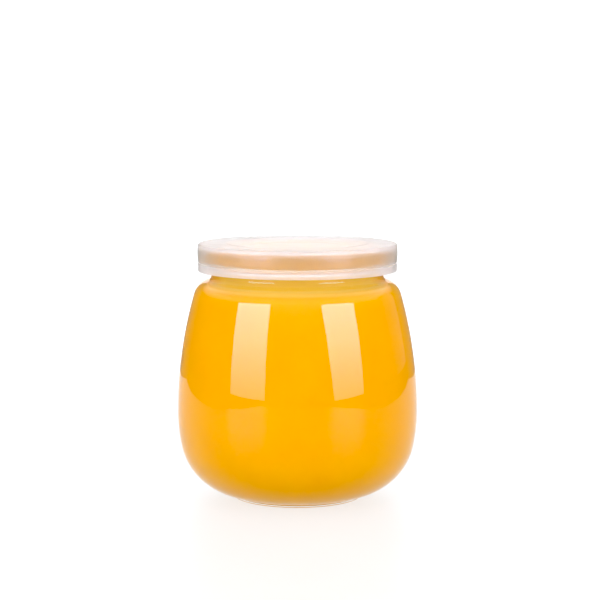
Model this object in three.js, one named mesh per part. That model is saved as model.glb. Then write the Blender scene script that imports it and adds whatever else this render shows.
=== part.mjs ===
// A shut glass jar of mango yogurt: a round-bellied clear jar, the yogurt in it, and a frosted press-on lid.
// Millimetres, +Z up. The origin is on the jar's axis, in the plane that the foot rests on.
// Every piece is a surface of revolution, so each is one closed outline turned about the axis.

import * as THREE from "three";

const { degToRad } = THREE.MathUtils;

const TURN_STEPS = 60; // flats round a full turn
const ARC_SAG = 0.07; // how far an arc's chords may cut inside it
const FIT_GAP = 0.3; // clear space between pieces that touch in the real jar

// Jar, outside
const BODY_RADIUS = 37.4;
const WIDEST_HEIGHT = 26.3;
const BELLY_ARC = 51; // below the widest line
const BELLY_ANGLE = degToRad(11.7);
const HEEL_ARC = 19.2; // from the belly round to the foot
const FOOT_RADIUS = 20.6;
const FOOT_CORNER = 0.6;
const BEARING_RADIUS = 16.5; // inner edge of the flat ring that the jar stands on
const PUSH_UP = 1.2; // rise of the hollow under the base
const SIDE_ARC = 135.4; // above the widest line
const SIDE_ANGLE = degToRad(15.95);
const SHOULDER_ARC = 6.2;
const NECK_RADIUS = 26.7;
const NECK_FILLET = 1.8;

// Jar, mouth
const RIM_TOP = 77.7;
const BEAD_RADIUS = 29.5; // the ring at the mouth that the lid is pressed over
const BEAD_EDGE = 1.2; // rounding of the bead's top edge
const BEAD_LOW = 74;
const BEAD_UNDERCUT = 1.2; // height of the slope from the neck out to the bead
const MOUTH_RADIUS = 24.2;
const MOUTH_EDGE = 1.5;

// Jar, inside
const WALL = 2.8;
const BASE_THICKNESS = 5.7;
const FLOOR_RISE = 0.6; // the floor's middle over its edge
const INNER_NECK_ARC = 3; // where the inner shoulder turns up into the mouth

// Yogurt
const FILL_LEVEL = 76.7;

// Lid
const LID_TOP = 79.1;
const LID_BOTTOM = 70.6;
const LID_RADIUS = 31.05;
const LID_EDGE = 1.2; // rounding of the top edge
const PLATE = 1; // thickness of the top
const SKIRT_DRAW = 0.2; // how far the skirt draws in above and below its middle
const SKIRT_INNER_RADIUS = 29.9;
const PANEL_RADIUS = 16; // floor of the sunk panel
const PANEL_RIM_RADIUS = 22.3; // where the panel's sloping wall meets the top
const PANEL_DEPTH = 0.9;
const GROOVE_HEIGHT = 73.2; // the line between the skirt and its lower band
const GROOVE_DEPTH = 0.35;
const GROOVE_HALF_WIDTH = 0.3;
const BAND_EDGE = 0.25;
const RIDGE_RADIUS = 28.4; // the inner ridge that grips under the bead
const RIDGE_HEIGHT = 72.3;
const RIDGE_HALF_WIDTH = 0.3;
const RIDGE_SLOPE = 0.5; // height of the slope above and below the ridge

const QUARTER = Math.PI / 2;
const point = (radius, height) => new THREE.Vector2(radius, height);

// Points of an arc. An angle is measured from straight outwards, positive upwards.
function arc(centre, radius, from, to) {
  const step = 2 * Math.acos(1 - ARC_SAG / radius);
  const steps = Math.ceil(Math.abs(to - from) / step);
  return Array.from({ length: steps + 1 }, (_, i) => {
    const angle = from + ((to - from) * i) / steps;
    return point(centre.x + radius * Math.cos(angle), centre.y + radius * Math.sin(angle));
  });
}

// A shallow dome from the axis out to a radius: its edge is at `level`, its middle higher by `rise`.
function dome(edgeRadius, level, rise) {
  const steps = 3;
  return Array.from({ length: steps + 1 }, (_, i) => {
    const share = i / steps;
    return point(edgeRadius * share, level + rise * (1 - share ** 2));
  });
}

// The centre of an arc that passes through a point where the surface faces along this angle.
const centreBehind = (place, radius, angle) =>
  point(place.x - radius * Math.cos(angle), place.y - radius * Math.sin(angle));

// The jar's glass wall follows these centres outside and inside, so it is even all the way up.
const BELLY_CENTRE = point(BODY_RADIUS - BELLY_ARC, WIDEST_HEIGHT);
const SIDE_CENTRE = point(BODY_RADIUS - SIDE_ARC, WIDEST_HEIGHT);
const SIDE_TOP = arc(SIDE_CENTRE, SIDE_ARC, 0, SIDE_ANGLE).at(-1);
const SHOULDER_CENTRE = centreBehind(SIDE_TOP, SHOULDER_ARC, SIDE_ANGLE);

// Belly and side upwards, at a depth below the outer surface.
function flank(depth) {
  return [
    ...arc(BELLY_CENTRE, BELLY_ARC - depth, -BELLY_ANGLE, 0),
    ...arc(SIDE_CENTRE, SIDE_ARC - depth, 0, SIDE_ANGLE),
  ];
}

// The shoulder, and the hollow bend that carries it up into an upright wall of the given radius.
function shoulder(depth, bendArc, wallRadius) {
  const radius = SHOULDER_ARC - depth;
  const across = wallRadius + bendArc - SHOULDER_CENTRE.x;
  const up = Math.sqrt((radius + bendArc) ** 2 - across ** 2);
  const meeting = Math.atan2(up, across);
  const bendCentre = point(SHOULDER_CENTRE.x + across, SHOULDER_CENTRE.y + up);
  return [
    ...arc(SHOULDER_CENTRE, radius, SIDE_ANGLE, meeting),
    ...arc(bendCentre, bendArc, meeting - Math.PI, -Math.PI),
  ];
}

// The inside of the glass from the middle of its floor up to the mouth, less a clearance.
function cavity(clearance) {
  const bellyLow = arc(BELLY_CENTRE, BELLY_ARC - WALL, -BELLY_ANGLE, 0)[0];
  const heelArc = (bellyLow.y - BASE_THICKNESS) / (1 - Math.sin(BELLY_ANGLE));
  const heelCentre = centreBehind(bellyLow, heelArc, -BELLY_ANGLE);
  return [
    ...dome(heelCentre.x, BASE_THICKNESS + clearance, FLOOR_RISE),
    ...arc(heelCentre, heelArc - clearance, -QUARTER, -BELLY_ANGLE),
    ...flank(WALL + clearance),
    ...shoulder(WALL + clearance, INNER_NECK_ARC + clearance, MOUTH_RADIUS - clearance),
  ];
}

// The foot from the middle of the base outwards: the hollow, the flat ring that bears, and its corner.
function foot() {
  const cornerCentre = point(FOOT_RADIUS - FOOT_CORNER, FOOT_CORNER);
  return [...dome(BEARING_RADIUS, 0, PUSH_UP), ...arc(cornerCentre, FOOT_CORNER, -QUARTER, 0)];
}

function outerHeel() {
  const bellyLow = arc(BELLY_CENTRE, BELLY_ARC, -BELLY_ANGLE, 0)[0];
  const centre = centreBehind(bellyLow, HEEL_ARC, -BELLY_ANGLE);
  const footAngle = -Math.acos((FOOT_RADIUS - centre.x) / HEEL_ARC);
  return arc(centre, HEEL_ARC, footAngle, -BELLY_ANGLE);
}

// The mouth from the neck outwards over the bead and the rounded rim, to the inner wall.
function mouth() {
  const beadCentre = point(BEAD_RADIUS - BEAD_EDGE, RIM_TOP - BEAD_EDGE);
  const lipCentre = point(MOUTH_RADIUS + MOUTH_EDGE, RIM_TOP - MOUTH_EDGE);
  return [
    point(NECK_RADIUS, BEAD_LOW - BEAD_UNDERCUT),
    point(BEAD_RADIUS, BEAD_LOW),
    ...arc(beadCentre, BEAD_EDGE, 0, QUARTER),
    ...arc(lipCentre, MOUTH_EDGE, QUARTER, Math.PI),
  ];
}

// A closed outline turned about the axis, less any point that repeats the one before it. It runs
// outwards along the underside and back inwards above. The lathe turns about Y, so its mesh is stood up.
function turned(name, outline, material) {
  const profile = outline.filter((p, i) => i === 0 || p.distanceTo(outline[i - 1]) > 1e-6);
  const mesh = new THREE.Mesh(new THREE.LatheGeometry(profile, TURN_STEPS), material);
  mesh.name = name;
  mesh.rotation.x = QUARTER;
  return mesh;
}

function glassJar() {
  const glass = new THREE.MeshStandardMaterial({
    color: 0xf4f1ea,
    roughness: 0.04,
    metalness: 0,
    transparent: true,
    opacity: 0.3,
  });
  const outside = [...foot(), ...outerHeel(), ...flank(0), ...shoulder(0, NECK_FILLET, NECK_RADIUS)];
  return turned("glass_jar", [...outside, ...mouth(), ...cavity(0).reverse()], glass);
}

function yogurt() {
  const mango = new THREE.MeshStandardMaterial({ color: 0xffb000, roughness: 0.35, metalness: 0 });
  const surface = [point(MOUTH_RADIUS - FIT_GAP, FILL_LEVEL), point(0, FILL_LEVEL)];
  return turned("yogurt", [...cavity(FIT_GAP), ...surface], mango);
}

// The top from the middle of the sunk panel out over the rounded edge.
function lidTop() {
  const edgeCentre = point(LID_RADIUS - SKIRT_DRAW - LID_EDGE, LID_TOP - LID_EDGE);
  return [
    point(0, LID_TOP - PANEL_DEPTH),
    point(PANEL_RADIUS, LID_TOP - PANEL_DEPTH),
    point(PANEL_RIM_RADIUS, LID_TOP),
    ...arc(edgeCentre, LID_EDGE, QUARTER, 0),
  ];
}

// The skirt downwards: barrelled by a parabola, then the groove and the lower band.
function lidSkirt() {
  const high = LID_TOP - LID_EDGE;
  const low = GROOVE_HEIGHT + GROOVE_HALF_WIDTH;
  const steps = 4;
  const bandRadius = LID_RADIUS - SKIRT_DRAW;
  const barrel = Array.from({ length: steps + 1 }, (_, i) => {
    const height = high + ((low - high) * i) / steps;
    const offMiddle = (2 * i) / steps - 1;
    return point(LID_RADIUS - SKIRT_DRAW * offMiddle ** 2, height);
  });
  return [
    ...barrel,
    point(bandRadius - GROOVE_DEPTH, GROOVE_HEIGHT),
    point(bandRadius, GROOVE_HEIGHT - GROOVE_HALF_WIDTH),
    ...arc(point(bandRadius - BAND_EDGE, LID_BOTTOM + BAND_EDGE), BAND_EDGE, 0, -QUARTER),
  ];
}

// The inside of the lid upwards, over the gripping ridge, and back to the axis under the panel.
function lidInside() {
  const under = LID_TOP - PLATE;
  return [
    point(SKIRT_INNER_RADIUS, LID_BOTTOM),
    point(SKIRT_INNER_RADIUS, RIDGE_HEIGHT - RIDGE_HALF_WIDTH - RIDGE_SLOPE),
    point(RIDGE_RADIUS, RIDGE_HEIGHT - RIDGE_HALF_WIDTH),
    point(RIDGE_RADIUS, RIDGE_HEIGHT + RIDGE_HALF_WIDTH),
    point(SKIRT_INNER_RADIUS, RIDGE_HEIGHT + RIDGE_HALF_WIDTH + RIDGE_SLOPE),
    point(SKIRT_INNER_RADIUS, under),
    point(PANEL_RIM_RADIUS, under),
    point(PANEL_RADIUS, under - PANEL_DEPTH),
    point(0, under - PANEL_DEPTH),
  ];
}

function lid() {
  const frosted = new THREE.MeshStandardMaterial({
    color: 0xf1e6e1,
    roughness: 0.4,
    metalness: 0,
    transparent: true,
    opacity: 0.75,
  });
  const downwards = [...lidTop(), ...lidSkirt(), ...lidInside()];
  return turned("lid", downwards.reverse(), frosted);
}

const jar = new THREE.Group();
jar.add(glassJar(), yogurt(), lid());

export default jar;
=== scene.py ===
import bpy
import numpy as np
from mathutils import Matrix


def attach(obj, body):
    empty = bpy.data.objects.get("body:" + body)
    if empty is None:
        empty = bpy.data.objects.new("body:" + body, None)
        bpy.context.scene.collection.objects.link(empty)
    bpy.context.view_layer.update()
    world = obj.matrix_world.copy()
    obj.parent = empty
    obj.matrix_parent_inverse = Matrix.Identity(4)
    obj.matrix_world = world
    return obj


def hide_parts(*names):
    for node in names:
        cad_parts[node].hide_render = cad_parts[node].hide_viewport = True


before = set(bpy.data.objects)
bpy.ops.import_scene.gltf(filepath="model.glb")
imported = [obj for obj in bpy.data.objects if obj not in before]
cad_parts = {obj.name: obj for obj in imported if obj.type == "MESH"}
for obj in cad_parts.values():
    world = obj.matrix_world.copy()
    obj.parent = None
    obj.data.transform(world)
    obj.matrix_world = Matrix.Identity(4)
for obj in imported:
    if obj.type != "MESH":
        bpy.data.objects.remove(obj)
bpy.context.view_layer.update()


# Clear glass jar
# A round-bellied jar of clear soda-lime glass, pressed in a mould: an even wall, a thicker base pushed
# up in the middle, a foot ring, and a beaded mouth that the lid is pressed over.
def arc(centre, radius, start, end):
    """Points on a circle about a centre. Angles are in degrees from straight outwards, upwards positive,
    and there are enough of them for the chords to cut in by 2 micrometres at most."""
    step = 2 * np.arccos(1 - 2e-6 / radius)
    count = int(np.ceil(abs(np.radians(end - start)) / step))
    angle = np.radians(np.linspace(start, end, count + 1))
    return np.column_stack([centre[0] + radius * np.cos(angle), centre[1] + radius * np.sin(angle)])


def eased(corners, steps=8):
    """A line through corners given as radius, height and setback, in millimetres; no setback is a setback
    of 0, a sharp corner. At each corner between the ends a parabola leaves the line one setback before
    the corner and joins it one setback after."""
    corners = np.array([(*corner, 0)[:3] for corner in corners]) / 1000
    share = np.linspace(0, 1, steps + 1)[:, None]
    line = [corners[:1, :2]]
    for before, here, after in zip(corners, corners[1:], corners[2:]):
        place, setback = here[:2], here[2]
        start = place + setback * (before[:2] - place) / np.linalg.norm(before[:2] - place)
        end = place + setback * (after[:2] - place) / np.linalg.norm(after[:2] - place)
        line.append((1 - share) ** 2 * start + 2 * share * (1 - share) * place + share**2 * end)
    line.append(corners[-1:, :2])
    return np.vstack(line)


def turned(name, outline, sides=256):
    """A closed surface of revolution. A point at share t of the outline and angle a about Z lies at
    (radius(t) cos a, radius(t) sin a, height(t)). The outline starts on the axis, runs outwards along the
    underside and comes back inwards above to the axis; its two ends become single points."""
    far = np.append(True, np.linalg.norm(np.diff(outline, axis=0), axis=1) > 1e-7)
    radius, height = outline[far].T
    angle = np.linspace(0, 2 * np.pi, sides, endpoint=False)
    rings = np.empty((len(radius) - 2, sides, 3))
    rings[..., 0] = radius[1:-1, None] * np.cos(angle)
    rings[..., 1] = radius[1:-1, None] * np.sin(angle)
    rings[..., 2] = height[1:-1, None]
    poles = [[0, 0, height[0]], [0, 0, height[-1]]]
    places = np.vstack([rings.reshape(-1, 3), poles])
    index = np.arange(rings.shape[0] * sides).reshape(-1, sides)
    turn = np.roll(index, -1, axis=1)
    bottom = np.full(sides, len(places) - 2)
    top = np.full(sides, len(places) - 1)
    walls = np.stack([index[:-1], turn[:-1], turn[1:], index[1:]], axis=-1).reshape(-1, 4)
    caps = np.vstack([np.stack([bottom, turn[0], index[0]], -1), np.stack([top, index[-1], turn[-1]], -1)])
    mesh = bpy.data.meshes.new(name)
    mesh.from_pydata(places.tolist(), [], walls.tolist() + caps.tolist())
    mesh.shade_smooth()
    piece = bpy.data.objects.new(name, mesh)
    bpy.context.scene.collection.objects.link(piece)
    return piece


def material(name, **values):
    """A new node material: its tree, its Principled shader with these plain values set, and its object
    coordinates, which are metres."""
    made = bpy.data.materials.new(name)
    made.use_nodes = True
    tree = made.node_tree
    shader = tree.nodes["Principled BSDF"]
    for socket, value in values.items():
        shader.inputs[socket.replace("_", " ")].default_value = value
    return made, tree, shader, tree.nodes.new("ShaderNodeTexCoord").outputs["Object"]


def node(tree, kind, inputs, **settings):
    """A node with its settings, and its inputs set to plain values or joined to other nodes' outputs."""
    made = tree.nodes.new("ShaderNode" + kind)
    for setting, value in settings.items():
        setattr(made, setting, value)
    for socket, value in inputs.items():
        if isinstance(value, bpy.types.NodeSocket):
            tree.links.new(value, made.inputs[socket])
        else:
            made.inputs[socket].default_value = value
    return made


def noise(tree, place, scale, detail=3, stretch=(1, 1, 1)):
    """Noise from 0 to 1 whose grains are about one over the scale, in metres, drawn out by the stretch."""
    moved = node(tree, "Mapping", {"Vector": place, "Scale": stretch}).outputs["Vector"]
    return node(tree, "TexNoise", {"Vector": moved, "Scale": scale, "Detail": detail}).outputs["Fac"]


def spread(tree, amount, low, high, start=0.0, end=1.0):
    """An amount from start to end, carried over to the span from low to high."""
    inputs = {"Value": amount, "From Min": start, "From Max": end, "To Min": low, "To Max": high}
    return node(tree, "MapRange", inputs).outputs["Result"]


def blend(tree, amount, first, second):
    """A colour between two, given as linear red, green and blue."""
    made = node(tree, "Mix", {}, data_type="RGBA")
    tree.links.new(amount, made.inputs[0])
    for socket, colour in ((made.inputs[6], first), (made.inputs[7], second)):
        if isinstance(colour, bpy.types.NodeSocket):
            tree.links.new(colour, socket)
        else:
            socket.default_value = (*colour, 1)
    return made.outputs[2]


def bump(tree, height, distance, normal=None):
    """A surface raised by a height from 0 to 1 times a distance in metres."""
    inputs = {"Height": height, "Distance": distance, "Strength": 1.0}
    if normal is not None:
        inputs["Normal"] = normal
    return node(tree, "Bump", inputs).outputs["Normal"]


# Sizes are in metres and turns in degrees. Belly and side are two arcs that meet at the widest line, with
# their centres beyond the axis. A way is the direction outwards from an arc's centre at the arc's end.
wall = 0.0028
base = 0.0057
foot_radius = 0.0206
bearing_radius = 0.0165
push_up_height = 0.0012
heel_radius = 0.0192
mouth_radius = 0.0242
belly_centre, belly_radius, belly_turn = (-0.0136, 0.0263), 0.051, 11.7
belly_way = np.array([np.cos(np.radians(belly_turn)), -np.sin(np.radians(belly_turn))])
side_centre, side_radius, side_turn = (-0.098, 0.0263), 0.1354, 15.95
side_way = np.array([np.cos(np.radians(side_turn)), np.sin(np.radians(side_turn))])
side_end = arc(side_centre, side_radius, 0, side_turn)[-1]
shoulder_radius = 0.0062
shoulder_centre = side_end - shoulder_radius * side_way


def flank(depth):
    """Belly and side from low to high, at a depth below the outer surface of the glass."""
    low = arc(belly_centre, belly_radius - depth, -belly_turn, 0)
    return np.vstack([low, arc(side_centre, side_radius - depth, 0, side_turn)])


def shoulder(depth, bend, upright):
    """The shoulder at a depth, and the hollow bend that carries it up into an upright wall."""
    radius = shoulder_radius - depth
    across = upright + bend - shoulder_centre[0]
    up = np.sqrt((radius + bend) ** 2 - across**2)
    meeting = np.degrees(np.arctan2(up, across))
    bend_centre = shoulder_centre + np.array([across, up])
    over = arc(shoulder_centre, radius, side_turn, meeting)
    return np.vstack([over, arc(bend_centre, bend, meeting - 180, -180)])


def cavity(inset):
    """The inside of the glass from the middle of its floor up to the mouth, drawn in by an inset. The floor
    is raised by 0.6 mm in the middle, and one arc carries it over into the belly."""
    low = belly_centre + (belly_radius - wall) * belly_way
    bend = (low[1] - base) / (1 + belly_way[1])
    centre = low - bend * belly_way
    share = np.linspace(0, 1, 16)[:, None]
    floor = np.hstack([centre[0] * share, base + inset + 0.0006 * (1 - share**2)])
    corner = arc(centre, bend - inset, -90, -belly_turn)
    neck = shoulder(wall + inset, bend=0.003 + inset, upright=mouth_radius - inset)
    return np.vstack([floor, corner, flank(wall + inset), neck])


# The heel's arc runs down from the belly to three degrees short of the upright wall of the foot.
heel_centre = belly_centre + (belly_radius - heel_radius) * belly_way
foot_turn = -np.degrees(np.arccos((foot_radius - heel_centre[0]) / heel_radius))
foot_height = heel_centre[1] + heel_radius * np.sin(np.radians(foot_turn))
heel = arc(heel_centre, heel_radius, foot_turn + 3, -belly_turn)
share = np.linspace(0, 1, 16)[:, None]
hollow = np.hstack([bearing_radius * share, push_up_height * (1 - share**2)])
glass_outline = np.vstack([
    hollow[:-1],
    eased([
        (16.2, 0.05), (16.5, 0, 0.15), (20.6, 0, 0.45), (20.6, 1000 * foot_height, 0.35), 1000 * heel[0],
    ]),
    heel,
    flank(0),
    shoulder(0, bend=0.0018, upright=0.0267),
    eased([(26.7, 69.9), (27.1, 72.8, 0.4), (29.5, 74, 0.4), (29.5, 77.7, 1.4), (27, 77.7)]),
    arc((0.0257, 0.0762), 0.0015, 90, 180),
    cavity(0)[::-1],
])
jar = turned("jar_glass", glass_outline)

clear, tree, shader, place = material("clear_glass", Transmission_Weight=1.0, IOR=1.5)
ripple = noise(tree, place, 60, detail=2, stretch=(1, 1, 0.6))
drag = noise(tree, place, 700, detail=2, stretch=(1, 1, 0.15))
tint = blend(tree, ripple, (0.965, 0.98, 0.972), (0.99, 0.995, 0.99))
tree.links.new(tint, shader.inputs["Base Color"])
tree.links.new(spread(tree, drag, 0.0, 0.03, 0.3, 0.8), shader.inputs["Roughness"])
waves = bump(tree, ripple, 0.00004)
tree.links.new(bump(tree, drag, 0.0000008, waves), shader.inputs["Normal"])
jar.data.materials.append(clear)
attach(jar, "root")
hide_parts("glass_jar")


# Mango yogurt
# Smooth stirred yogurt coloured by mango pulp, poured in to a millimetre below the rim. It wets the
# glass, so it reaches a tenth of a millimetre into the wall, and its top draws up a little at the edge.
# Over the front of the neck and the top of the shoulder the colour is painted paler: painted light where
# the lid's shade falls.
def product(tree, first, second):
    """One amount times another."""
    return node(tree, "Math", {0: first, 1: second}, operation="MULTIPLY").outputs["Value"]


yogurt_outline = np.vstack([
    cavity(-0.0001),
    eased([(24.3, 74), (24.3, 76.7, 0.1), (22.6, 76.45, 1.2), (0, 76.4)]),
])
yogurt = turned("yogurt_fill", yogurt_outline)

mango, tree, shader, place = material("mango_yogurt", Specular_IOR_Level=0.05)
clouds = noise(tree, place, 90, detail=4)
pulp = noise(tree, place, 900, detail=2, stretch=(1, 1, 2.2))
body = blend(tree, spread(tree, clouds, 0, 1, 0.3, 0.7), (0.99, 0.475, 0.004), (0.975, 0.447, 0.002))
fibres = blend(tree, spread(tree, pulp, 0, 0.5, 0.62, 0.75), body, (0.93, 0.38, 0.001))
# The painted light lies between two heights, the neck's foot and the lid's lower edge, and in front of the
# axis.
split = node(tree, "SeparateXYZ", {"Vector": place})
start = spread(tree, split.outputs["Z"], 0, 1, 0.0644, 0.0653)
end = spread(tree, split.outputs["Z"], 1, 0, 0.0705, 0.072)
front = spread(tree, split.outputs["Y"], 0.95, 0, -0.0125, -0.0035)
painted_light_mask = product(tree, product(tree, start, end), front)
# A paler orange is painted over that mask as painted light.
tree.links.new(blend(tree, painted_light_mask, fibres, (1, 0.695, 0.14)), shader.inputs["Base Color"])
tree.links.new(spread(tree, clouds, 0.3, 0.5, 0.3, 0.7), shader.inputs["Roughness"])
tree.links.new(bump(tree, pulp, 0.00002), shader.inputs["Normal"])
yogurt.data.materials.append(mango)
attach(yogurt, "root")
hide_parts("yogurt")


# Press-on lid
# A cap moulded in one piece from soft frosted polyethylene: a top with a shallow sunk panel, a skirt
# about a millimetre thick with a moulded line above its lower band, and a ridge inside that grips the bead.
# Its lower band and the edge of its top are milkier than the thinner skirt between them.
lid_outline = eased([
    (0, 77.2), (16, 77.2, 0.4), (22.3, 78.1, 0.4), (29.9, 78.1, 0.3), (29.9, 73.1, 0.1),
    (28.4, 72.6, 0.15), (28.4, 72, 0.15), (29.9, 71.5, 0.1), (29.9, 70.6, 0.12), (30.85, 70.6, 0.25),
    (30.85, 72.9, 0.12), (30.5, 73.2, 0.1), (30.85, 73.5, 0.12), (31.05, 75.9, 1.8), (30.85, 79.1, 0.65),
    (22.3, 79.1, 0.4), (16, 78.2, 0.6), (0, 78.2),
])
lid = turned("press_lid", lid_outline)

frosted, tree, shader, place = material("frosted_lid", Transmission_Weight=0.94, IOR=1.34)
height = node(tree, "SeparateXYZ", {"Vector": place}).outputs["Z"]
grain = noise(tree, place, 1600, detail=2)
flow = noise(tree, place, 70, detail=3)
milk = blend(tree, flow, (1, 0.985, 0.98), (0.985, 0.965, 0.96))
# The top above the sunk panel is blended towards a greyer mauve: painted shade that dims its face.
painted_top_shade = blend(tree, spread(tree, height, 0, 0.8, 0.0782, 0.0789), milk, (0.93, 0.885, 0.9))
tree.links.new(painted_top_shade, shader.inputs["Base Color"])
tree.links.new(spread(tree, flow, 0.28, 0.36, 0.3, 0.7), shader.inputs["Roughness"])
above_band = spread(tree, height, 0, 1, 0.0731, 0.0737)
below_edge = spread(tree, height, 1, 0.4, 0.0765, 0.0776)
top = spread(tree, height, 0, 1, 0.0786, 0.079)
skirt = product(tree, above_band, below_edge)
clearer = node(tree, "Math", {0: skirt, 1: top}, operation="MAXIMUM").outputs["Value"]
tree.links.new(spread(tree, clearer, 0.82, 0.94), shader.inputs["Transmission Weight"])
tree.links.new(bump(tree, grain, 0.000004), shader.inputs["Normal"])
lid.data.materials.append(frosted)
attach(lid, "root")
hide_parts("lid")


# Table and studio light
# A white table before a lit white backdrop, two window-like soft lights that stand on either side of the
# camera and fade downwards, a faint one at the right, and a room that is brighter in front and overhead.
def card(name, corners, white=0.1, low=0.0, high=0.0, colour=(1, 1, 1)):
    """A flat four-cornered sheet, its corners given in metres and its lowest one first. It is painted a
    shade of white and glows with a strength that goes from low at its foot to high at its top."""
    mesh = bpy.data.meshes.new(name)
    mesh.from_pydata([tuple(map(float, corner)) for corner in corners], [], [(0, 1, 2, 3)])
    made = bpy.data.objects.new(name, mesh)
    bpy.context.scene.collection.objects.link(made)
    paint, tree, shader, place = material(name, Roughness=0.4, Specular_IOR_Level=0.2)
    shade = blend(tree, noise(tree, place, 30), (white - 0.02,) * 3, (white,) * 3)
    tree.links.new(shade, shader.inputs["Base Color"])
    shader.inputs["Emission Color"].default_value = (*colour, 1)
    shader.inputs["Emission Strength"].default_value = low
    if high != low:
        height = node(tree, "SeparateXYZ", {"Vector": place}).outputs["Z"]
        glow = spread(tree, height, low, high, corners[0][2], corners[2][2])
        tree.links.new(glow, shader.inputs["Emission Strength"])
    made.data.materials.append(paint)


def window(name, facing, distance, foot, head, low=3.2, high=10.8):
    """An upright soft light from 1 cm to 38 cm above the table that faces the jar from an azimuth in
    degrees from the camera's side, positive to the right. Foot and head are where its lower and upper
    edges start and end, in metres sideways."""
    turn = np.radians(facing)
    away = distance * np.array([np.sin(turn), -np.cos(turn), 0])
    side = np.array([np.cos(turn), np.sin(turn), 0])
    spans = ((foot[0], 0.01), (foot[1], 0.01), (head[1], 0.38), (head[0], 0.38))
    corners = [away + side * along + (0, 0, up) for along, up in spans]
    card(name, corners, low=low, high=high, colour=(0.85, 0.82, 1))


table = [(-0.32, -0.52, 0), (0.32, -0.52, 0), (0.32, 0.28, 0), (-0.32, 0.28, 0)]
card("table_top", table, white=0.12, low=0.76, high=0.76)
back = [(-0.38, 1.6, -0.25), (0.38, 1.6, -0.25), (0.38, 1.6, 0.95), (-0.38, 1.6, 0.95)]
card("backdrop", back, low=1.15, high=1.15)
window("left_window", -35, 0.7, (-0.4, 0.06), (-0.46, 0.06))
window("right_window", 35, 0.7, (-0.01, 0.39), (-0.111, 0.39))
window("side_window", 118, 0.7, (-0.2, 0.15), (-0.2, 0.15), low=0.55, high=0.75)

# The room's strength goes by direction: 0.85 in front, 0.35 behind and 1.75 overhead.
world = bpy.data.worlds.new("room")
bpy.context.scene.world = world
world.use_nodes = True
tree = world.node_tree
direction = tree.nodes.new("ShaderNodeTexCoord").outputs["Generated"]
split = node(tree, "SeparateXYZ", {"Vector": direction})
around = spread(tree, split.outputs["Y"], 0.85, 0.35, 0, 0.7)
background = tree.nodes["Background"]
background.inputs["Color"].default_value = (1, 1, 1, 1)
tree.links.new(spread(tree, split.outputs["Z"], around, 1.75, 0.28, 0.5), background.inputs["Strength"])

# Camera
# A long lens, a little higher than the lid, that looks slightly down at the jar.
camera = bpy.data.objects.new("camera", bpy.data.cameras.new("camera"))
camera.data.lens = 108
camera.data.sensor_width = 36
camera.location = (0.00078, -0.5566, 0.12546)
camera.rotation_euler = (np.radians(90 - 6.579), 0, 0)
bpy.context.scene.collection.objects.link(camera)
bpy.context.scene.camera = camera

# Colour and light paths
# A black level on blue gives the yellow its full depth. Light may pass every wall of the glass and the lid.
scene = bpy.context.scene
scene.view_settings.view_transform = "Standard"
scene.view_settings.use_curve_mapping = True
scene.view_settings.curve_mapping.black_level = (0, 0, 0.058)
scene.view_settings.curve_mapping.update()
scene.cycles.use_denoising = True
scene.cycles.max_bounces = 16
scene.cycles.transmission_bounces = 14
scene.cycles.diffuse_bounces = 8
scene.cycles.glossy_bounces = 8
